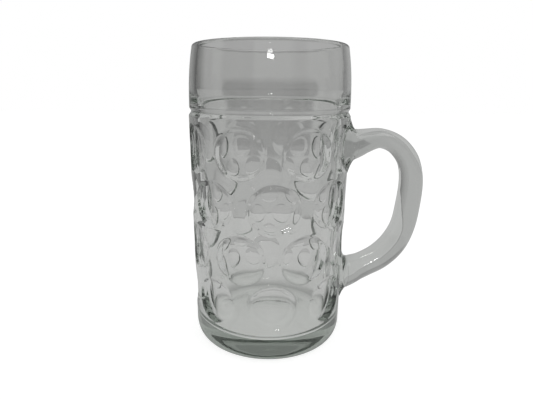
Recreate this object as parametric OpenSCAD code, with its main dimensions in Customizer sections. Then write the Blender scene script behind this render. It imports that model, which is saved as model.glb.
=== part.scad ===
// Dimpled glass beer mug of about one litre: a pressed glass body and a pressed glass handle.
// The axis of the mug is +Z, the foot stands on z = 0, and the handle points along +X.

/* [Body] */
// Height from the foot to the top of the lip
mug_h = 200; // [190:1:230]
// Outer radius of the lip
lip_r = 50.8; // [49.5:0.1:52]
// Outer radius of the smooth rim band just above the groove
band_r = 53.4; // [52.5:0.1:55]
// Outer radius of the dimpled wall at the shoulder, just below the groove
shoulder_r = 53.9; // [53:0.1:56]
// Outer radius of the dimpled wall at the heel
heel_r = 52.3; // [51:0.1:53.5]
// Outer radius of the flat foot ring
foot_r = 46.1; // [43:0.1:48]
// Height over which the heel rounds into the foot
heel_h = 10.9; // [8:0.1:13]
// Height of the rim band from the middle of the groove to the top of the lip
band_h = 41.7; // [36:0.1:43]
// Depth of the groove
groove_depth = 1.3; // [0.5:0.1:2]
// Half of the height of the groove
groove_half_h = 2.8; // [2:0.1:3.5]

/* [Inside] */
// Wall between the cavity and the crowns of the dimpled wall
wall_t = 6.9; // [6.4:0.1:9]
// Wall of the rim band
band_t = 5; // [4:0.1:6]
// Wall at the lip, which is also the width of its round edge
lip_t = 4.4; // [3.5:0.1:5]
// Thickness of the base under the middle of the floor
floor_t = 13; // [9:0.5:18]
// Radius of the corner between the floor and the inner wall
floor_round = 6; // [4:0.5:10]
// Height of the top of the sloping inner ledge above the middle of the groove
ledge_up = 14; // [10:0.5:17]
// Height of the sloping inner ledge between the band and the cavity
ledge_h = 17; // [10:0.5:20]
// Inner radius of the flat foot ring
foot_in_r = 39; // [34:0.5:41]
// Depth of the dished hollow under the base
foot_hollow = 1.6; // [0.8:0.1:3]

/* [Dimples] */
// Number of dimples round the mug in each row
dimple_count = 8; // [8:1:8]
// Number of rows
dimple_rows = 4; // [3:1:4]
// Height of the centres of the lowest row
dimple_low_z = 38; // [36:0.1:40]
// Plain wall left between the highest row and the shoulder
dimple_top_gap = 4.8; // [2:0.1:8]
// Height of one dimple
dimple_h = 30.4; // [26:0.1:31]
// Width of one dimple, measured straight across
dimple_w = 32.4; // [27:0.1:34]
// Depth of one dimple below the crown of the wall
dimple_depth = 3.2; // [3:0.1:4.3]

/* [Handle] */
// Distance from the axis of the mug to the outermost face of the grip
grip_reach = 109.6; // [104:0.1:118]
// How far the top of the handle lies below the middle of the groove
grip_drop = 11.1; // [8:0.1:16]
// Height of the middle of the lower weld
weld_low_z = 41.4; // [38:0.1:44]
// Thickness of the grip at its outer side
grip_t = 16.7; // [13:0.1:20]
// Width of the grip across the hand
grip_w = 20; // [16:0.1:23]
// How far the upper pad stands out from the wall
pad_top_out = 5.6; // [4.5:0.1:8]
// How far the lower pad stands out from the wall
pad_low_out = 4.8; // [4:0.1:7]
// How much further the upper pad spreads up and down where it meets the wall
pad_top_spread = 11; // [6:0.5:12]
// How much further the lower pad spreads up and down where it meets the wall
pad_low_spread = 8; // [5:0.5:9]
// How much further each pad spreads to its sides
pad_side_spread = 1.5; // [0.5:0.1:2]

/* [Hidden] */

// Steps of a round stretch in an outline, and facets of a circle
arc_steps = 10;
$fn = 180;

// Outlines of the body
lip_round = lip_t / 2;
lip_z = mug_h - lip_round;
groove_z = mug_h - band_h;
band_z = groove_z + groove_half_h;
shoulder_z = groove_z - groove_half_h;
band_curve = 2.5;
ledge_z = groove_z + ledge_up;
cavity_z = ledge_z - ledge_h;
overrun = 1;

// Outer radius of the plain wall, of the rim band and of the slope between them at height z
function wall_r(z) = heel_r + (shoulder_r - heel_r) * (z - heel_h) / (shoulder_z - heel_h);
function band_share(z) = max(0, (z - band_z) / (lip_z - band_z));
function band_outer(z) = band_r - (band_r - lip_r) * pow(band_share(z), band_curve);
function slope_r(z) = shoulder_r + (band_r - shoulder_r) * (z - shoulder_z) / (band_z - shoulder_z);
function outer_r(z) = z < shoulder_z ? wall_r(z) : z < band_z ? slope_r(z) : band_outer(z);

// Wall of the rim band at height z, and the radii of the inside
function band_wall(z) = band_t - (band_t - lip_t) * band_share(z);
function band_inner(z) = band_outer(z) - band_wall(z);
function cavity_r(z) = wall_r(z) - wall_t;

// Points of a round stretch about [r, z], with half axes a and b, from angle w0 to w1
function round_points(r, z, a, b, w0, w1) = [
    for (i = [0:arc_steps])
        let (w = w0 + (w1 - w0) * i / arc_steps)
        [r + a * cos(w), z + b * sin(w)]
];

// Points along the rim band by a radius that changes with height, from z0 to z1
function band_points(inside, z0, z1) = [
    for (i = [0:arc_steps])
        let (z = z0 + (z1 - z0) * i / arc_steps)
        [inside ? band_inner(z) : band_outer(z), z]
];

// Points of the groove, a hollow that meets the shoulder and the band
function groove_points() = [
    for (i = [0:arc_steps])
        let (s = i / arc_steps, z = shoulder_z + (band_z - shoulder_z) * s)
        [slope_r(z) - groove_depth * pow(sin(180 * s), 2), z]
];

// Points of the inner ledge: the wall thins in an S from the cavity up to the band
function ledge_points() = [
    for (i = [0:arc_steps])
        let (s = i / arc_steps, z = cavity_z + ledge_h * s, thinned = (1 - cos(180 * s)) / 2)
        [outer_r(z) - wall_t + (wall_t - band_wall(z)) * thinned, z]
];

module outer_outline() {
    polygon(concat(
        [[0, 0]],
        round_points(foot_r, heel_h, heel_r - foot_r, heel_h, -90, 0),
        groove_points(),
        band_points(false, band_z, lip_z),
        round_points(lip_r - lip_round, lip_z, lip_round, lip_round, 0, 90),
        [[0, mug_h]]
    ));
}

module cavity_outline() {
    corner_z = floor_t + floor_round;
    polygon(concat(
        [[0, floor_t]],
        round_points(cavity_r(corner_z) - floor_round, corner_z, floor_round, floor_round, -90, 0),
        ledge_points(),
        band_points(true, ledge_z, lip_z),
        round_points(lip_r - lip_round, lip_z, lip_round, lip_round, 180, 90),
        [[lip_r - lip_round, mug_h + overrun], [0, mug_h + overrun]]
    ));
}

// The hollow under the base, deepest at the axis and running out at the foot ring
module hollow_outline() {
    polygon(concat(
        [for (i = [0:arc_steps]) let (s = i / arc_steps) [foot_in_r * s, foot_hollow * (1 - s * s)]],
        [[foot_in_r, -overrun], [0, -overrun]]
    ));
}

// One dimple: the near side of a barrel that stands outside the wall, centred at height z
dimple_up = dimple_h / 2;
dimple_side = dimple_w / 2;
dimple_pitch = (shoulder_z - dimple_top_gap - dimple_up - dimple_low_z) / (dimple_rows - 1);
barrel_round = (dimple_up * dimple_up + dimple_depth * dimple_depth) / (2 * dimple_depth);

module dimple(z) {
    deep_r = wall_r(z) - dimple_depth;
    edge_x = sqrt(wall_r(z) * wall_r(z) - dimple_side * dimple_side);
    dip = edge_x - deep_r;
    barrel_r = (dimple_side * dimple_side + dip * dip) / (2 * dip);
    tool_in = deep_r - overrun;
    tool_out = wall_r(z) + overrun;
    translate([0, 0, z]) intersection() {
        translate([tool_in, -dimple_side - overrun, -dimple_up - overrun])
            cube([tool_out - tool_in, 2 * (dimple_side + overrun), 2 * (dimple_up + overrun)]);
        translate([deep_r + barrel_r, 0, 0]) rotate_extrude() intersection() {
            translate([barrel_r - barrel_round, 0]) circle(barrel_round);
            translate([0, -dimple_up - 2 * overrun]) square([barrel_r, 2 * (dimple_up + 2 * overrun)]);
        }
    }
}

// Rows alternate: in odd rows, counted from the bottom as 0, the dimples sit between those below.
// The lowest row leaves out the one where the lower end of the handle is welded on.
module dimples() {
    turn = 360 / dimple_count;
    for (row = [0:dimple_rows - 1])
        for (i = [(row == 0 ? 1 : 0):dimple_count - 1])
            rotate([0, 0, (i + (row % 2) / 2) * turn]) dimple(dimple_low_z + row * dimple_pitch);
}

// Handle: stations along its middle line from the upper weld to the lower one. Each has the
// share of the way out to the grip, of the way up from the lower weld to the top, and the
// thickness and the width as shares of the grip's.
handle_shares = [
    [0, 0.957, 1.26, 1.17],
    [0.16, 0.981, 1.02, 1.05],
    [0.402, 1, 0.826, 0.96],
    [0.631, 0.972, 0.814, 0.95],
    [0.806, 0.913, 0.85, 0.95],
    [0.94, 0.824, 0.886, 0.97],
    [1, 0.692, 0.952, 1],
    [0.981, 0.521, 1, 1],
    [0.923, 0.357, 1.025, 1.02],
    [0.783, 0.223, 1.1, 1.05],
    [0.564, 0.122, 1.1, 1.06],
    [0.3, 0.057, 1.07, 1.08],
    [0.135, 0.027, 1.19, 1.12],
    [0, 0, 1.41, 1.2]
];
top_station_share = 0.826;
handle_steps = 4;
handle_sides = 28;
last_station = len(handle_shares) - 1;

grip_x = grip_reach - grip_t / 2;
top_z = groove_z - grip_drop - top_station_share * grip_t / 2;
weld_top_z = weld_low_z + handle_shares[0][1] * (top_z - weld_low_z);
weld_top_x = wall_r(weld_top_z) + pad_top_out;
weld_low_x = wall_r(weld_low_z) + pad_low_out;

// One station as [x, z, half thickness, half width]
function station(i) =
    let (s = handle_shares[i], x0 = i < last_station / 2 + 1 ? weld_top_x : weld_low_x)
    [
        x0 + s[0] * (grip_x - x0),
        weld_low_z + s[1] * (top_z - weld_low_z),
        s[2] * grip_t / 2,
        s[3] * grip_w / 2
    ];

// Smooth curve through the stations: a is the station before, u runs from 0 to 1 to the next
function smooth(a, u) =
    let (
        p0 = station(max(a - 1, 0)), p1 = station(a),
        p2 = station(min(a + 1, last_station)), p3 = station(min(a + 2, last_station))
    )
    (2 * p1 + (p2 - p0) * u + (2 * p0 - 5 * p1 + 4 * p2 - p3) * u * u
        + (3 * p1 - p0 - 3 * p2 + p3) * u * u * u) / 2;
function along(t) = smooth(min(floor(t), last_station - 1), t - min(floor(t), last_station - 1));

// Tilt of the cross-section at t: square to the middle line, and eased upright at both welds
slope_step = 0.1;
function ease(u) = u >= 1 ? 1 : u <= 0 ? 0 : u * u * (3 - 2 * u);
function slope(t) =
    let (d = along(min(t + slope_step, last_station)) - along(max(t - slope_step, 0)), w = atan2(d[1], d[0]))
    w > 90 ? w - 360 : w;
function tilt(t) = slope(t) * ease(t) * ease(last_station - t) - 180 * (1 - ease(last_station - t));

// An oval ring of points at x, z: half thickness a along its tilt, half width b along Y
function ring(x, z, a, b, w) = [
    for (k = [0:handle_sides - 1])
        let (q = 360 * k / handle_sides)
        [x - a * cos(q) * sin(w), b * sin(q), z + a * cos(q) * cos(w)]
];

// A closed solid through rings of as many points, with flat ends
module skin(rings) {
    n = handle_sides;
    m = len(rings);
    points = [for (one = rings) for (p = one) p];
    walls = [
        for (j = [0:m - 2]) for (k = [0:n - 1])
            let (a = j * n + k, b = j * n + (k + 1) % n)
            for (face = [[a, b, a + n], [b, b + n, a + n]]) face
    ];
    first = [for (k = [1:n - 2]) [0, k + 1, k]];
    last = [for (k = [1:n - 2]) [(m - 1) * n, (m - 1) * n + k, (m - 1) * n + k + 1]];
    polyhedron(points = points, faces = concat(walls, first, last));
}

// A pad that grows out of the wall and ends in the flat weld face of the handle. out is how far
// it stands out, up is how far it spreads up and down at the wall.
pad_steps = 6;
pad_curve = 1.8;

module pad(i, out, up) {
    s = station(i);
    root_x = s[0] - out - dimple_depth - (wall_t - dimple_depth) / 2;
    spread = [for (j = [0:pad_steps]) j / pad_steps];
    skin(concat(
        [ring(root_x, s[1], s[2] + up, s[3] + pad_side_spread, 0)],
        [
            for (j = [pad_steps:-1:0])
                let (e = pow(spread[j], pad_curve))
                ring(s[0] - out * spread[j], s[1], s[2] + up * e, s[3] + pad_side_spread * e, 0)
        ]
    ));
}

module glass_body() {
    color([0.80, 0.84, 0.81, 0.45]) difference() {
        union() {
            difference() {
                rotate_extrude() outer_outline();
                dimples();
            }
            pad(0, pad_top_out, pad_top_spread);
            pad(last_station, pad_low_out, pad_low_spread);
        }
        rotate_extrude() cavity_outline();
        rotate_extrude() hollow_outline();
    }
}

module glass_handle() {
    color([0.84, 0.87, 0.84, 0.6]) skin([
        for (t = [0:1 / handle_steps:last_station])
            let (c = along(t)) ring(c[0], c[1], c[2], c[3], tilt(t))
    ]);
}

glass_body();
glass_handle();
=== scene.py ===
"""Looks of a dimpled glass beer mug: a pressed glass body and the glass handle welded to it.

Lengths are in metres. The axis of the mug is +Z, its foot is on z = 0, the handle points to +X.
"""
import math

import bpy
from mathutils import Matrix, Vector


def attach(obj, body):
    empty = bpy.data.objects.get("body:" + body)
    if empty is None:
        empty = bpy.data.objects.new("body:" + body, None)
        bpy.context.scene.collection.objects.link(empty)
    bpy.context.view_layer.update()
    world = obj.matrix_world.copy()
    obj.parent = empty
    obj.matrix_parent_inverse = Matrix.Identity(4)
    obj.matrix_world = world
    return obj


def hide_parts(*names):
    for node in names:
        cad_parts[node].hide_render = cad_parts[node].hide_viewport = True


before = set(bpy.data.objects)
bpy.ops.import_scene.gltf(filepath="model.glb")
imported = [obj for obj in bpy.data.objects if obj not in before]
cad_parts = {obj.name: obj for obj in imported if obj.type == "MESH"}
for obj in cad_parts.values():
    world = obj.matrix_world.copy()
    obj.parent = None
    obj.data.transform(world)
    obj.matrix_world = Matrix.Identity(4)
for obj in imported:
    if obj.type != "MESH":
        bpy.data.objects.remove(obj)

MM = 0.001
TURN = 2 * math.pi
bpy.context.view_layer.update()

# Sizes of the mug, as in the CAD source
MUG_H = 200 * MM
LIP_R = 50.8 * MM
BAND_R = 53.4 * MM
SHOULDER_R = 53.9 * MM
HEEL_R = 52.3 * MM
FOOT_R = 46.1 * MM
HEEL_H = 10.9 * MM
GROOVE_Z = 158.3 * MM
GROOVE_DEPTH = 1.3 * MM
GROOVE_HALF_H = 2.8 * MM
WALL_T = 6.9 * MM
BAND_T = 5.0 * MM
LIP_T = 4.4 * MM
FLOOR_T = 13.0 * MM
FLOOR_ROUND = 6.0 * MM
LEDGE_H = 17.0 * MM
LEDGE_UP = 14.0 * MM
FOOT_IN_R = 39.0 * MM
FOOT_HOLLOW = 1.6 * MM
BAND_CURVE = 2.5

DIMPLE_COUNT = 8
DIMPLE_ROWS = 4
DIMPLE_LOW_Z = 38.0 * MM
DIMPLE_PITCH = 32.5 * MM
DIMPLE_H = 30.4 * MM
DIMPLE_W = 32.4 * MM
DIMPLE_DEPTH = 3.2 * MM

GRIP_REACH = 109.6 * MM
GRIP_TOP = 147.2 * MM
GRIP_T = 16.7 * MM
GRIP_W = 20.0 * MM
WELD_LOW_Z = 41.4 * MM
PAD_TOP_OUT = 5.6 * MM
PAD_LOW_OUT = 4.8 * MM
PAD_TOP_SPREAD = 11.0 * MM
PAD_LOW_SPREAD = 8.0 * MM
PAD_SIDE_SPREAD = 1.5 * MM
PAD_CURVE = 1.8
PAD_STEPS = 18

# Stations of the handle: share of the way out, share of the way up, thickness, width
HANDLE_SHARES = [
    (0, 0.957, 1.26, 1.17), (0.16, 0.981, 1.02, 1.05), (0.402, 1, 0.826, 0.96),
    (0.631, 0.972, 0.814, 0.95), (0.806, 0.913, 0.85, 0.95), (0.94, 0.824, 0.886, 0.97),
    (1, 0.692, 0.952, 1), (0.981, 0.521, 1, 1), (0.923, 0.357, 1.025, 1.02),
    (0.783, 0.223, 1.1, 1.05), (0.564, 0.122, 1.1, 1.06), (0.3, 0.057, 1.07, 1.08),
    (0.135, 0.027, 1.19, 1.12), (0, 0, 1.41, 1.2),
]
TOP_STATION_SHARE = 0.826
HIGHEST_MIDDLE = GRIP_TOP - TOP_STATION_SHARE * GRIP_T / 2
HANDLE_STEPS = 20
LAST_STATION = len(HANDLE_SHARES) - 1
SLOPE_STEP = 0.1

LIP_ROUND = LIP_T / 2
LIP_Z = MUG_H - LIP_ROUND
BAND_Z = GROOVE_Z + GROOVE_HALF_H
SHOULDER_Z = GROOVE_Z - GROOVE_HALF_H
LEDGE_Z = GROOVE_Z + LEDGE_UP
CAVITY_Z = LEDGE_Z - LEDGE_H

# The rim of a dimple: how soft its edge is, and the steep step just inside it
EDGE_SOFT = 0.35 * MM
RIM_STEP = 0.85 * MM
RIM_POWER = 14.0

# The pad's face stays this far off the handle, and the mask clears this share of the weld
WELD_GAP = 0.02 * MM
WELD_NEAR = 0.1 * MM
WELD_CLEAR = 0.94
PAD_EASE = 1.5

# Steps of each stretch of the body's outline, from the middle of the underside
HOLLOW_STEPS = 14
FOOT_STEPS = 4
HEEL_STEPS = 18
WALL_STEPS = 142
GROOVE_STEPS = 14
BAND_STEPS = 20
LIP_STEPS = 20
BAND_IN_STEPS = 18
LEDGE_STEPS = 24
CAVITY_STEPS = 10
CORNER_STEPS = 12
FLOOR_STEPS = 6

# Steps round the body, closer together at the handle, and round the oval bars
STEPS_AROUND = 324
CROWDING = 0.25
OVAL_SIDES = 96
MERGE_GAP = 0.01 * MM
SHARPEST_BEND = math.radians(35)


def mix(a, b, share):
    return a + (b - a) * share


def ease(u):
    u = min(max(u, 0.0), 1.0)
    return u * u * (3 - 2 * u)


def wall_r(z):
    return mix(HEEL_R, SHOULDER_R, (z - HEEL_H) / (SHOULDER_Z - HEEL_H))


def band_share(z):
    return max(0.0, (z - BAND_Z) / (LIP_Z - BAND_Z))


def band_outer(z):
    return BAND_R - (BAND_R - LIP_R) * band_share(z) ** BAND_CURVE


def band_wall(z):
    return BAND_T - (BAND_T - LIP_T) * band_share(z)


def band_inner(z):
    return band_outer(z) - band_wall(z)


def cavity_r(z):
    return wall_r(z) - WALL_T


def grey(tone):
    return (tone, tone, tone, 1.0)


class Wire:
    """A node's output that takes part in Python sums by adding Math nodes."""

    def __init__(self, graph, socket):
        self.graph = graph
        self.socket = socket

    def math(self, operation, *others):
        return self.graph.node("ShaderNodeMath", [self, *others], operation=operation)

    def __add__(self, other):
        return self.math("ADD", other)

    __radd__ = __add__

    def __sub__(self, other):
        return self.math("SUBTRACT", other)

    def __rsub__(self, other):
        return self.graph.node("ShaderNodeMath", [other, self], operation="SUBTRACT")

    def __mul__(self, other):
        return self.math("MULTIPLY", other)

    __rmul__ = __mul__

    def __truediv__(self, other):
        return self.math("DIVIDE", other)

    def __rtruediv__(self, other):
        return self.graph.node("ShaderNodeMath", [other, self], operation="DIVIDE")

    def __pow__(self, other):
        return self.math("POWER", other)

    def __gt__(self, other):
        return self.math("GREATER_THAN", other)

    def __lt__(self, other):
        return self.math("LESS_THAN", other)

    def root(self):
        return self.math("MAXIMUM", 0.0).math("SQRT")

    def parts(self):
        """The x, y and z of a vector."""
        split = self.graph.node("ShaderNodeSeparateXYZ", [self])
        return [Wire(self.graph, one) for one in split.socket.node.outputs]


class Graph:
    """A node tree, with one method that adds any node."""

    def __init__(self, tree):
        self.tree = tree

    def node(self, kind, inputs=(), out=0, ramp=None, **settings):
        made = self.tree.nodes.new(kind)
        for name, value in settings.items():
            setattr(made, name, value)
        if ramp:
            stops = made.color_ramp.elements
            while len(stops) < len(ramp):
                stops.new(1.0)
            for stop, (place, tone) in zip(stops, ramp):
                stop.position = place
                stop.color = (*tone, 1.0) if isinstance(tone, tuple) else grey(tone)
        pairs = inputs.items() if isinstance(inputs, dict) else enumerate(inputs)
        for key, value in pairs:
            if isinstance(value, Wire):
                self.tree.links.new(value.socket, made.inputs[key])
            elif value is not None:
                made.inputs[key].default_value = value
        return Wire(self, made.outputs[out])

    def vector(self, x, y, z):
        return self.node("ShaderNodeCombineXYZ", [x, y, z])

    def blended(self, kind, first, second, share=1.0):
        """Two colours blended: sockets 6, 7 and 0 of the node are its colours and its factor."""
        return self.node(
            "ShaderNodeMix", {6: first, 7: second, 0: share}, out=2, data_type="RGBA", blend_type=kind,
        )


def shape_tree(name, inputs):
    """A Geometry Nodes tree with named inputs, and the wires of those inputs."""
    tree = bpy.data.node_groups.new(name, "GeometryNodeTree")
    face = tree.interface
    face.new_socket(name="Geometry", in_out="OUTPUT", socket_type="NodeSocketGeometry")
    face.new_socket(name="Geometry", in_out="INPUT", socket_type="NodeSocketGeometry")
    kinds = {float: "NodeSocketFloat", int: "NodeSocketInt"}
    for label, value in inputs.items():
        kind = kinds.get(type(value), "NodeSocketObject")
        if isinstance(value, bpy.types.Material):
            kind = "NodeSocketMaterial"
        face.new_socket(name=label, in_out="INPUT", socket_type=kind)
    graph = Graph(tree)
    entry = tree.nodes.new("NodeGroupInput")
    wires = {one.name: Wire(graph, one) for one in entry.outputs if one.name}
    return graph, wires


def finish_tree(graph, geometry, material):
    """The tree's end: plain mesh, its material and the output."""
    plain = graph.node("GeometryNodeRealizeInstances", [geometry])
    dressed = graph.node("GeometryNodeSetMaterial", {"Geometry": plain, "Material": material})
    end = graph.tree.nodes.new("NodeGroupOutput")
    graph.tree.links.new(dressed.socket, end.inputs[0])


def rolled_grid(graph, around, along):
    """A grid to be rolled into a tube, and each point's step around it and along it."""
    grid = graph.node(
        "GeometryNodeMeshGrid",
        {"Size X": 1.0, "Size Y": 1.0, "Vertices X": around + 1.0, "Vertices Y": along},
    )
    index = graph.node("GeometryNodeInputIndex")
    column = ((index + 0.5) / along).math("FLOOR")
    return grid, column, index - column * along


def smooth_but_sharp(graph, geometry, sharpest):
    """Smooth faces, with edges left sharp where faces meet at more than an angle."""
    merged = graph.node("GeometryNodeMergeByDistance", {"Geometry": geometry, "Distance": MERGE_GAP})
    smooth = graph.node("GeometryNodeSetShadeSmooth", {"Geometry": merged, "Shade Smooth": True})
    bend = graph.node("GeometryNodeInputMeshEdgeAngle")
    return graph.node(
        "GeometryNodeSetShadeSmooth",
        {"Geometry": smooth, "Selection": bend > sharpest, "Shade Smooth": False},
        domain="EDGE",
    )


def grown(name, line, tree_maker, inputs):
    """A plain mesh object grown by a tree from a line of points with attributes."""
    holder = bpy.data.objects.new(name, line)
    bpy.context.scene.collection.objects.link(holder)
    tree = tree_maker(name + "_tree", inputs)
    grow = holder.modifiers.new("grow", "NODES")
    grow.node_group = tree
    for socket in tree.interface.items_tree:
        if socket.item_type == "SOCKET" and socket.in_out == "INPUT" and socket.name in inputs:
            grow[socket.identifier] = inputs[socket.name]
    bpy.context.view_layer.update()
    depsgraph = bpy.context.evaluated_depsgraph_get()
    mesh = bpy.data.meshes.new_from_object(holder.evaluated_get(depsgraph))
    holder.modifiers.remove(grow)
    holder.data = mesh
    mesh.name = name
    bpy.data.node_groups.remove(tree)
    return holder


def point_line(name, rows, labels):
    """A mesh line through points, with a float attribute for each label."""
    mesh = bpy.data.meshes.new(name)
    points = [row[:3] for row in rows]
    mesh.from_pydata(points, [(i, i + 1) for i in range(len(points) - 1)], [])
    for k, label in enumerate(labels):
        attribute = mesh.attributes.new(label, "FLOAT", "POINT")
        attribute.data.foreach_set("value", [row[3 + k] for row in rows])
    return mesh


# The body: an outline turned round the axis, with rows of dimples pressed into its wall

def shares(steps):
    """Even shares of a stretch, up to 1 and without 0."""
    return [i / steps for i in range(1, steps + 1)]


def arc(r, z, a, b, start, end, steps):
    """Points of a round stretch about (r, z), angles in degrees, without its first point."""
    turns = [math.radians(mix(start, end, s)) for s in shares(steps)]
    return [(r + a * math.cos(w), z + b * math.sin(w)) for w in turns]


def straight(start, end, steps):
    """Points of a straight stretch, without its first point."""
    return [(mix(start[0], end[0], s), mix(start[1], end[1], s)) for s in shares(steps)]


def body_outline():
    """(radius, height) from the middle of the underside, up the outside and down the inside."""
    line = [(0.0, FOOT_HOLLOW)]
    line += [(FOOT_IN_R * s, FOOT_HOLLOW * (1 - s ** 2)) for s in shares(HOLLOW_STEPS)]
    line += straight(line[-1], (FOOT_R, 0.0), FOOT_STEPS)
    line += arc(FOOT_R, HEEL_H, HEEL_R - FOOT_R, HEEL_H, -90, 0, HEEL_STEPS)
    line += straight(line[-1], (SHOULDER_R, SHOULDER_Z), WALL_STEPS)
    for s in shares(GROOVE_STEPS):
        dip = GROOVE_DEPTH * math.sin(math.pi * s) ** 2
        line.append((mix(SHOULDER_R, BAND_R, s) - dip, mix(SHOULDER_Z, BAND_Z, s)))
    line += [(band_outer(z), z) for z in (mix(BAND_Z, LIP_Z, s) for s in shares(BAND_STEPS))]
    line += arc(LIP_R - LIP_ROUND, LIP_Z, LIP_ROUND, LIP_ROUND, 0, 180, LIP_STEPS)
    line += [(band_inner(z), z) for z in (mix(LIP_Z, LEDGE_Z, s) for s in shares(BAND_IN_STEPS))]
    for down in shares(LEDGE_STEPS):
        s = 1 - down
        z = mix(CAVITY_Z, LEDGE_Z, s)
        outside = mix(wall_r(z), band_outer(z), ease((z - SHOULDER_Z) / (BAND_Z - SHOULDER_Z)))
        thinned = (1 - math.cos(math.pi * s)) / 2
        line.append((outside - mix(WALL_T, band_wall(z), thinned), z))
    corner_z = FLOOR_T + FLOOR_ROUND
    line += straight(line[-1], (cavity_r(corner_z), corner_z), CAVITY_STEPS)
    line += arc(cavity_r(corner_z) - FLOOR_ROUND, corner_z, FLOOR_ROUND, FLOOR_ROUND, 0, -90, CORNER_STEPS)
    line += straight(line[-1], (0.0, FLOOR_T), FLOOR_STEPS)
    return line


def body_tree(name, inputs):
    """The outline rolled round the axis, dimples pressed in row by row, and the pads joined on."""
    graph, given = shape_tree(name, inputs)
    around, along = given["Steps around"], given["Steps along"]
    grid, column, row = rolled_grid(graph, around, along)
    outline = graph.node(
        "GeometryNodeSampleIndex",
        {"Geometry": given["Geometry"], "Value": graph.node("GeometryNodeInputPosition"), "Index": row},
        data_type="FLOAT_VECTOR",
    )
    radius, _, height = outline.parts()
    turned = column / around * TURN
    angle = turned - given["Crowding at the handle"] * turned.math("SINE")

    half_h = given["Dimple height"] / 2.0
    half_w = given["Dimple width"] / 2.0
    depth, rim, power = given["Dimple depth"], given["Rim step"], given["Rim power"]
    step = TURN / given["Dimples in a row"]
    low_r, low_z = given["Heel radius"], given["Heel height"]
    rise = (given["Shoulder radius"] - low_r) / (given["Shoulder height"] - low_z)
    for count in range(DIMPLE_ROWS):
        middle = given["Lowest row height"] + given["Row pitch"] * float(count)
        crown = low_r + rise * (height - low_z)
        shift = step * (count % 2 / 2)
        near = (angle - shift).math("WRAP", step / 2.0, step * -0.5)
        side = crown * near / half_w
        up = (height - middle) / half_h
        away = side * side + up * up
        dish = (depth - rim) * (1.0 - away) + rim * (1.0 - away ** (power / 2.0))
        cut = crown - dish
        if count == 0:
            # The lower weld takes this dimple's place, so its cut is moved a metre out of the way
            at_handle = angle.math("WRAP", math.pi, -math.pi).math("ABSOLUTE") < step / 2.0
            cut = cut + at_handle
        radius = radius.math("SMOOTH_MIN", cut, given["Edge softness"])

    place = graph.vector(radius * angle.math("COSINE"), radius * angle.math("SINE"), height)
    turned_body = graph.node("GeometryNodeSetPosition", {"Geometry": grid, "Position": place})
    closed = graph.node("GeometryNodeMergeByDistance", {"Geometry": turned_body, "Distance": MERGE_GAP})
    joined = graph.node("GeometryNodeMeshBoolean", operation="UNION", solver="EXACT")
    meld = joined.socket.node
    pads = [graph.node("GeometryNodeObjectInfo", {"Object": given[label]}, out="Geometry")
            for label in ("Upper pad", "Lower pad")]
    for part in (closed, *pads):
        graph.tree.links.new(part.socket, meld.inputs["Mesh 2"])
    finish_tree(graph, smooth_but_sharp(graph, joined, given["Sharpest bend"]), given["Material"])
    return graph.tree


# The handle and its pads: oval rings skinned along a line of stations

def skin_tree(name, inputs):
    """Oval rings along a line of stations, upright or tilted, that end in flat caps."""
    graph, given = shape_tree(name, inputs)
    sides, along = given["Sides"], given["Steps along"]
    grid, column, row = rolled_grid(graph, sides, along)

    def sampled(value, kind):
        return graph.node(
            "GeometryNodeSampleIndex",
            {"Geometry": given["Geometry"], "Value": value, "Index": row}, data_type=kind,
        )

    def named(label):
        value = graph.node("GeometryNodeInputNamedAttribute", {"Name": label}, data_type="FLOAT")
        return sampled(value, "FLOAT")

    middle_x, _, middle_z = sampled(graph.node("GeometryNodeInputPosition"), "FLOAT_VECTOR").parts()
    half_t, half_w, tilt = named("half_t"), named("half_w"), named("tilt")
    turned = column / sides * -TURN
    reach = half_t * turned.math("COSINE")
    place = graph.vector(
        middle_x - reach * tilt.math("SINE"),
        half_w * turned.math("SINE"),
        middle_z + reach * tilt.math("COSINE"),
    )
    skin = graph.node("GeometryNodeSetPosition", {"Geometry": grid, "Position": place})
    finish_tree(graph, smooth_but_sharp(graph, skin, given["Sharpest bend"]), given["Material"])
    return graph.tree


def weld_places():
    """(x, z) of the middle of the upper and of the lower weld."""
    high = mix(WELD_LOW_Z, HIGHEST_MIDDLE, HANDLE_SHARES[0][1])
    return (wall_r(high) + PAD_TOP_OUT, high), (wall_r(WELD_LOW_Z) + PAD_LOW_OUT, WELD_LOW_Z)


WELDS = weld_places()


def station(i):
    """Middle x and z, half thickness and half width of the handle at a station."""
    out, rise, thick, wide = HANDLE_SHARES[i]
    start = WELDS[0][0] if i < LAST_STATION / 2 + 1 else WELDS[1][0]
    return (
        mix(start, GRIP_REACH - GRIP_T / 2, out), mix(WELD_LOW_Z, HIGHEST_MIDDLE, rise),
        thick * GRIP_T / 2, wide * GRIP_W / 2,
    )


def along_handle(t):
    """The stations' Catmull-Rom curve: t is 0 at the upper weld and LAST_STATION at the lower."""
    a = min(int(t), LAST_STATION - 1)
    u = t - a
    p0, p1, p2, p3 = (station(min(max(a + k, 0), LAST_STATION)) for k in (-1, 0, 1, 2))
    return [
        (2 * q1 + (q2 - q0) * u + (2 * q0 - 5 * q1 + 4 * q2 - q3) * u ** 2
         + (3 * q1 - q0 - 3 * q2 + q3) * u ** 3) / 2
        for q0, q1, q2, q3 in zip(p0, p1, p2, p3)
    ]


def handle_tilt(t):
    """Tilt of the ring at t: square to the middle line, and upright at both welds."""
    ahead = along_handle(min(t + SLOPE_STEP, LAST_STATION))
    behind = along_handle(max(t - SLOPE_STEP, 0))
    slope = math.atan2(ahead[1] - behind[1], ahead[0] - behind[0])
    if slope > math.pi / 2:
        slope -= TURN
    return slope * ease(t) * ease(LAST_STATION - t) - math.pi * (1 - ease(LAST_STATION - t))


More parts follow.
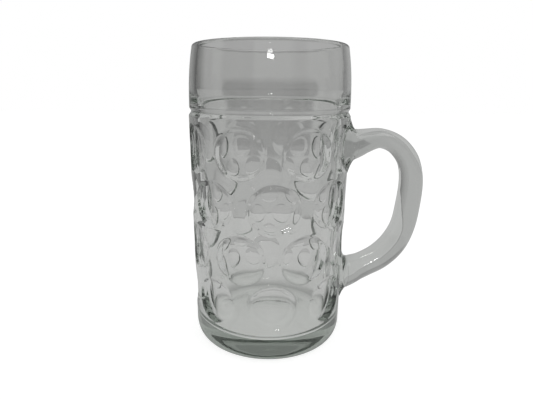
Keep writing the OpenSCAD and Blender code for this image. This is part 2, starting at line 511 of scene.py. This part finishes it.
def capped(rows):
    """Rows of a skin with a closed flat cap at each end."""
    return [(*rows[0][:3], 0.0, 0.0, rows[0][5]), *rows, (*rows[-1][:3], 0.0, 0.0, rows[-1][5])]


def handle_line():
    rows = []
    for k in range(LAST_STATION * HANDLE_STEPS + 1):
        t = k / HANDLE_STEPS
        x, z, half_t, half_w = along_handle(t)
        rows.append((x, 0.0, z, half_t, half_w, handle_tilt(t)))
    return point_line("handle_line", capped(rows), ("half_t", "half_w", "tilt"))


def pad_line(weld, i, out, spread):
    """Rings from inside the wall out to the flat weld face, which stays a hair off the handle."""
    x, z = weld
    _, _, half_t, half_w = station(i)
    root_x = x - out - DIMPLE_DEPTH - (WALL_T - DIMPLE_DEPTH) / 2
    rows = [(root_x, 0.0, z, half_t + spread, half_w + PAD_SIDE_SPREAD, 0.0)]
    for k in range(PAD_STEPS, -1, -1):
        s = (k / PAD_STEPS) ** PAD_EASE
        flare = s ** PAD_CURVE
        rows.append((
            x - WELD_GAP - (out - WELD_GAP) * s, 0.0, z,
            half_t + spread * flare, half_w + PAD_SIDE_SPREAD * flare, 0.0,
        ))
    return point_line("pad_line", capped(rows), ("half_t", "half_w", "tilt"))


# Glass

GLASS_IOR = 1.52
ABSORBED = (0.30, 0.40, 0.31, 1.0)
ABSORBING = 10.0
SHADOW_TINT = (0.80, 0.82, 0.80, 1.0)
CLEAR = (1.0, 1.0, 1.0, 1.0)
RIPPLE_DEPTH = 0.05 * MM
RIPPLE_DETAIL = 1.5
FINE_RIPPLE = 3.5 * MM
FINE_DETAIL = 1.0
FINE_SHARE = 0.25
WIPE_SIZE = 9 * MM
WIPE_DETAIL = 4.0
WIPE_EDGES = (0.45, 0.75)
TINT_LOW = (0.963, 0.963, 0.958)
TINT_HIGH = (0.976, 0.974, 0.97)
TINT_EDGES = (0.3, 0.7)


def fresh_material(name):
    """A material with an empty tree, and the tree's graph."""
    material = bpy.data.materials.new(name)
    material.use_nodes = True
    material.node_tree.nodes.clear()
    return material, Graph(material.node_tree)


def end_material(graph, surface, volume=None):
    end = graph.tree.nodes.new("ShaderNodeOutputMaterial")
    graph.tree.links.new(surface.socket, end.inputs["Surface"])
    if volume:
        graph.tree.links.new(volume.socket, end.inputs["Volume"])


def weld_mask(graph, where):
    """1 on the flat weld faces, where the two pieces are fused and nothing shows."""
    x, y, z = where.parts()
    total = None
    for i, (weld_x, weld_z) in zip((0, LAST_STATION), WELDS):
        _, _, half_t, half_w = station(i)
        oval = ((z - weld_z) / (half_t * WELD_CLEAR)) ** 2.0 + (y / (half_w * WELD_CLEAR)) ** 2.0
        face = ((x - weld_x).math("ABSOLUTE") < WELD_NEAR) * (oval < 1.0)
        total = face if total is None else total.math("MAXIMUM", face)
    return total


def glass(name, ripple_size, smeared):
    """Clear pressed glass with faint ripples, and a grey-green tint where it is thick."""
    material, graph = fresh_material(name)
    where = graph.node("ShaderNodeTexCoord", out="Object")

    def noise(size, detail):
        return graph.node("ShaderNodeTexNoise", {"Vector": where, "Scale": 1 / size, "Detail": detail})

    wide = noise(ripple_size, RIPPLE_DETAIL)
    fine = noise(FINE_RIPPLE, FINE_DETAIL)
    wipes = noise(WIPE_SIZE, WIPE_DETAIL)
    haze = graph.node("ShaderNodeValToRGB", [wipes], ramp=[(WIPE_EDGES[0], 0.0), (WIPE_EDGES[1], smeared)])
    bump = graph.node(
        "ShaderNodeBump",
        {"Strength": 1.0, "Distance": RIPPLE_DEPTH, "Height": wide + fine * FINE_SHARE},
    )
    tint = graph.node(
        "ShaderNodeValToRGB", [wide], ramp=[(TINT_EDGES[0], TINT_LOW), (TINT_EDGES[1], TINT_HIGH)],
    )
    shader = graph.node("ShaderNodeBsdfPrincipled", {
        "Base Color": tint, "Roughness": haze, "Normal": bump, "IOR": GLASS_IOR, "Transmission Weight": 1.0,
    })
    clear = graph.node("ShaderNodeBsdfTransparent", {"Color": CLEAR})
    shade = graph.node("ShaderNodeBsdfTransparent", {"Color": SHADOW_TINT})
    shadow_ray = graph.node("ShaderNodeLightPath", out="Is Shadow Ray")
    lit = graph.node("ShaderNodeMixShader", [shadow_ray, shader, shade])
    surface = graph.node("ShaderNodeMixShader", [weld_mask(graph, where), lit, clear])
    body = graph.node("ShaderNodeVolumeAbsorption", {"Color": ABSORBED, "Density": ABSORBING})
    end_material(graph, surface, body)
    return material


# Camera, floor, backdrop and lamps

CAMERA_BACK = 296.496 * MM
CAMERA_UP = 172.083 * MM
CAMERA_PITCH = math.radians(14.34)
CAMERA_YAW = math.radians(-0.316)
CAMERA_ROLL = math.radians(0.519)
MUG_TURN = math.radians(3.3)
CLIP_START = 10 * MM

# The lens, from the photo's focal length and width in pixels; Blender takes both in millimetres
FOCAL_PIXELS = 431
PHOTO_WIDE = 533
SENSOR = 36.0

# The floor, in front of the camera: white by its own glow and by what the lamps add
FLOOR_HALF = 3.0
FLOOR_DROP = 0.3 * MM
FLOOR_GLOW = 0.76
FLOOR_PAPER = 0.45

# The same floor through the glass: painted light under the mug, a painted shadow ring round its foot, and
# the table's tone further out
# Painted light under the mug, lighter than the table round it, and a painted shadow ring round its foot
TABLE_PAINTED_LIGHT = 0.50
TABLE_PAINTED_SHADOW = 0.20
TABLE_TONE = 0.36
TABLE_RINGS = (44 * MM, 52 * MM, 64 * MM)
TABLE_REACH = 100 * MM
TABLE_WOOD = 0.27

# The wall through the glass: bands by height with painted shade at its foot, darker to both sides, and a
# panel
WALL_BEHIND = 275 * MM
WALL_HALF = 420 * MM
WALL_H = 500 * MM
# Painted shade in the crease along the foot of the wall, where it meets the table
WALL_FOOT_PAINTED_SHADE = 0.32
WALL_LOW = 0.45
WALL_HIGH = 0.42
WALL_BANDS = (3 * MM, 5 * MM, 100 * MM, 160 * MM)
WALL_EVEN = 0.32
WALL_SIDES = 0.30
SIDE_SHIFT = 45 * MM
PANEL_HALF = 80 * MM
PANEL_Z = 132 * MM
PANEL_HALF_H = 47 * MM
PANEL_ROUND = 10 * MM
PANEL_BLUR = 9 * MM
PANEL_TONE = 0.31


def around_z(vector, angle):
    return Matrix.Rotation(angle, 3, "Z") @ Vector(vector)


def place_camera():
    p, yaw, roll = CAMERA_PITCH, CAMERA_YAW, CAMERA_ROLL
    level = Vector((math.cos(yaw), -math.sin(yaw), 0))
    ahead = Vector((math.cos(p) * math.sin(yaw), math.cos(p) * math.cos(yaw), -math.sin(p)))
    raised = Vector((math.sin(p) * math.sin(yaw), math.sin(p) * math.cos(yaw), math.cos(p)))
    right = level * math.cos(roll) + raised * math.sin(roll)
    up = raised * math.cos(roll) - level * math.sin(roll)
    turn = Matrix((right, up, -ahead)).transposed()
    turn = Matrix.Rotation(-MUG_TURN, 3, "Z") @ turn
    data = bpy.data.cameras.new("camera")
    data.sensor_width = SENSOR
    data.lens = SENSOR * FOCAL_PIXELS / PHOTO_WIDE
    data.clip_start = CLIP_START
    camera = bpy.data.objects.new("camera", data)
    spot = around_z((0, -CAMERA_BACK, CAMERA_UP), -MUG_TURN)
    camera.matrix_world = Matrix.Translation(spot) @ turn.to_4x4()
    bpy.context.scene.collection.objects.link(camera)
    bpy.context.scene.camera = camera


def flat_sheet(name, corners, material):
    mesh = bpy.data.meshes.new(name)
    mesh.from_pydata(corners, [], [(0, 1, 2, 3)])
    sheet = bpy.data.objects.new(name, mesh)
    sheet.data.materials.append(material)
    bpy.context.scene.collection.objects.link(sheet)
    return sheet


def table_material():
    """White where the camera looks, with the mug's soft shadow, and pale grey through the glass, with
    painted light under the mug and a painted shadow ring round it.
    """
    material, graph = fresh_material("table")
    seen = graph.node("ShaderNodeLightPath", out="Is Camera Ray")
    white = graph.node("ShaderNodeEmission", {"Color": CLEAR, "Strength": FLOOR_GLOW})
    paper = graph.node("ShaderNodeBsdfDiffuse", {"Color": grey(FLOOR_PAPER)})
    bright = graph.node("ShaderNodeAddShader", [white, paper])
    where = graph.node("ShaderNodeTexCoord", out="Object")
    far = graph.node("ShaderNodeVectorMath", [where], out="Value", operation="LENGTH")
    # Painted light under the mug and a painted shadow ring round its foot, set by distance from the axis
    tones = zip(TABLE_RINGS, (TABLE_PAINTED_LIGHT, TABLE_PAINTED_SHADOW, TABLE_TONE))
    rings = [(ring / TABLE_REACH, tone) for ring, tone in tones]
    painted_floor_tone = graph.node("ShaderNodeValToRGB", [far / TABLE_REACH], ramp=rings)
    glow = graph.node("ShaderNodeEmission", {"Color": painted_floor_tone, "Strength": 1.0})
    wood = graph.node("ShaderNodeBsdfDiffuse", {"Color": grey(TABLE_WOOD)})
    dim = graph.node("ShaderNodeAddShader", [glow, wood])
    end_material(graph, graph.node("ShaderNodeMixShader", [seen, dim, bright]))
    return material


def wall_material():
    """The pale grey wall behind the mug, which only the glass shows, with one darker panel and painted
    shade along its foot.
    """
    material, graph = fresh_material("wall")
    x, y, z = graph.node("ShaderNodeTexCoord", out="Object").parts()
    across = x * math.cos(MUG_TURN) - y * math.sin(MUG_TURN)
    beside = (across.math("ABSOLUTE") - PANEL_HALF + PANEL_ROUND).math("MAXIMUM", 0.0)
    above = ((z - PANEL_Z).math("ABSOLUTE") - PANEL_HALF_H + PANEL_ROUND).math("MAXIMUM", 0.0)
    off = (beside * beside + above * above).root() - PANEL_ROUND
    panel = graph.node("ShaderNodeValToRGB", [0.5 - off / PANEL_BLUR], ramp=[(0.0, 0.0), (1.0, 1.0)])
    # The lowest band is painted shade along the foot of the wall
    tones = zip(WALL_BANDS, (WALL_FOOT_PAINTED_SHADE, WALL_LOW, WALL_LOW, WALL_HIGH))
    stops = [(0.0, WALL_FOOT_PAINTED_SHADE), *((band / WALL_H, tone) for band, tone in tones), (1.0, WALL_HIGH)]
    bands = graph.node("ShaderNodeValToRGB", [z / WALL_H], ramp=stops)
    sides = graph.node(
        "ShaderNodeValToRGB", [(across - SIDE_SHIFT).math("ABSOLUTE") / WALL_HALF],
        ramp=[(WALL_EVEN, 1.0), (1.0, WALL_SIDES)],
    )
    plain = graph.blended("MULTIPLY", bands, sides)
    tone = graph.blended("MIX", plain, grey(PANEL_TONE), panel)
    end_material(graph, graph.node("ShaderNodeEmission", {"Color": tone, "Strength": 1.0}))
    return material


def make_room():
    low = -FLOOR_DROP
    flat_sheet("floor", [
        (-FLOOR_HALF, -FLOOR_HALF, low), (FLOOR_HALF, -FLOOR_HALF, low),
        (FLOOR_HALF, FLOOR_HALF, low), (-FLOOR_HALF, FLOOR_HALF, low),
    ], table_material())
    corners = [(-WALL_HALF, WALL_BEHIND, low), (WALL_HALF, WALL_BEHIND, low),
               (WALL_HALF, WALL_BEHIND, WALL_H), (-WALL_HALF, WALL_BEHIND, WALL_H)]
    wall = flat_sheet("backdrop", [around_z(c, -MUG_TURN) for c in corners], wall_material())
    wall.visible_camera = False
    wall.visible_diffuse = False
    wall.visible_shadow = False


# The room all round the glass: dim, black in the four corners, more to the left, lighter above
ROOM_TONE = 0.32
FLAG_TONE = 0.03
FLAG_EDGES = (0.74, 0.89)
LEFT_DARKER = 0.22
LIGHTER_ABOVE = [(0.0, 1.0), (0.35, 1.4), (0.9, 1.7)]
DAYLIGHT = 0.62


def make_world():
    """White to the camera, plain light for the floor, and a dim room for the glass."""
    world = bpy.data.worlds.new("room")
    bpy.context.scene.world = world
    world.use_nodes = True
    tree = world.node_tree
    tree.nodes.clear()
    graph = Graph(tree)
    seen = graph.node("ShaderNodeLightPath", out="Is Camera Ray")
    glossy = graph.node("ShaderNodeLightPath", out="Is Glossy Ray")
    through = graph.node("ShaderNodeLightPath", out="Is Transmission Ray")
    x, y, z = graph.node("ShaderNodeTexCoord", out="Generated").parts()
    around = y.math("ARCTAN2", x) + MUG_TURN
    cross = (around * 2.0).math("SINE").math("ABSOLUTE") - x * LEFT_DARKER
    stops = [(FLAG_EDGES[0], ROOM_TONE), (FLAG_EDGES[1], FLAG_TONE)]
    flags = graph.node("ShaderNodeValToRGB", [cross], ramp=stops)
    height = graph.node("ShaderNodeValToRGB", [z], ramp=LIGHTER_ABOVE)
    dim = graph.blended("MULTIPLY", flags, height)

    def background(colour):
        return graph.node("ShaderNodeBackground", {"Color": colour, "Strength": 1.0})

    plain, dark, white = background(grey(DAYLIGHT)), background(dim), background(CLEAR)
    seen_by_glass = glossy.math("MAXIMUM", through)
    light = graph.node("ShaderNodeMixShader", [seen_by_glass, plain, dark])
    surface = graph.node("ShaderNodeMixShader", [seen, light, white])
    end = tree.nodes.new("ShaderNodeOutputWorld")
    tree.links.new(surface.socket, end.inputs["Surface"])


# Lamps: degrees round from the camera's side, degrees up, distance, width, height, radiance
ROOM_LAMP = (0, 21.3, 1.2, 0.15, 0.04, 34.0)
CEILING_LAMP = (60, 58, 1.6, 0.9, 0.6, 1.6)

# Cycles' limits for light that runs along inside the thick glass
GLOSSY_BOUNCES = 14
GLASS_BOUNCES = 18
ALL_BOUNCES = 24


def lamp(name, beside, elevation, far, wide, tall, radiance):
    """A flat lamp seen from the middle of the mug, beside the camera by an angle and above it."""
    a, e = math.radians(beside - 90) - MUG_TURN, math.radians(elevation)
    aim = Vector((0, 0, MUG_H / 2))
    spot = aim + far * Vector((math.cos(e) * math.cos(a), math.cos(e) * math.sin(a), math.sin(e)))
    data = bpy.data.lights.new(name, "AREA")
    data.shape = "RECTANGLE"
    data.size, data.size_y = wide, tall
    data.energy = math.pi * wide * tall * radiance
    made = bpy.data.objects.new(name, data)
    toward = (aim - spot).to_track_quat("-Z", "Y")
    made.matrix_world = Matrix.Translation(spot) @ toward.to_matrix().to_4x4()
    bpy.context.scene.collection.objects.link(made)
    return made


def enough_bounces_for_thick_glass():
    """Light that runs along inside the walls and the base comes out again, instead of going black."""
    paths = bpy.context.scene.cycles
    paths.glossy_bounces = GLOSSY_BOUNCES
    paths.transmission_bounces = GLASS_BOUNCES
    paths.max_bounces = ALL_BOUNCES


def make_lamps():
    lamp("room_lamp", *ROOM_LAMP)
    lamp("ceiling_lamp", *CEILING_LAMP).visible_transmission = False


place_camera()
make_room()
make_world()
make_lamps()
bpy.context.scene.view_settings.view_transform = "Standard"
enough_bounces_for_thick_glass()

body_glass = glass("clear_pressed_glass", ripple_size=11 * MM, smeared=0.03)
handle_glass = glass("handle_pressed_glass", ripple_size=8 * MM, smeared=0.04)

upper_line = pad_line(WELDS[0], 0, PAD_TOP_OUT, PAD_TOP_SPREAD)
lower_line = pad_line(WELDS[1], LAST_STATION, PAD_LOW_OUT, PAD_LOW_SPREAD)
upper_pad, lower_pad = (
    grown(name, line, skin_tree, {
        "Sides": OVAL_SIDES, "Steps along": len(line.vertices),
        "Sharpest bend": SHARPEST_BEND, "Material": body_glass,
    })
    for name, line in (("upper_pad", upper_line), ("lower_pad", lower_line))
)

outline = body_outline()
body = grown("pressed_body", point_line("outline", [(r, 0.0, z) for r, z in outline], ()), body_tree, {
    "Steps around": STEPS_AROUND, "Steps along": len(outline), "Crowding at the handle": CROWDING,
    "Dimples in a row": float(DIMPLE_COUNT), "Lowest row height": DIMPLE_LOW_Z, "Row pitch": DIMPLE_PITCH,
    "Dimple height": DIMPLE_H, "Dimple width": DIMPLE_W, "Dimple depth": DIMPLE_DEPTH,
    "Rim step": RIM_STEP, "Rim power": RIM_POWER,
    "Heel radius": HEEL_R, "Heel height": HEEL_H, "Shoulder radius": SHOULDER_R,
    "Shoulder height": SHOULDER_Z, "Edge softness": EDGE_SOFT, "Sharpest bend": SHARPEST_BEND,
    "Upper pad": upper_pad, "Lower pad": lower_pad, "Material": body_glass,
})
for pad in (upper_pad, lower_pad):
    bpy.data.objects.remove(pad)

bar = handle_line()
handle = grown("pressed_handle", bar, skin_tree, {
    "Sides": OVAL_SIDES, "Steps along": len(bar.vertices),
    "Sharpest bend": SHARPEST_BEND, "Material": handle_glass,
})

for piece, node, slot in ((body, "glass_body", "clear_glass"), (handle, "glass_handle", "handle_glass")):
    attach(piece, "root")
    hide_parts(node)
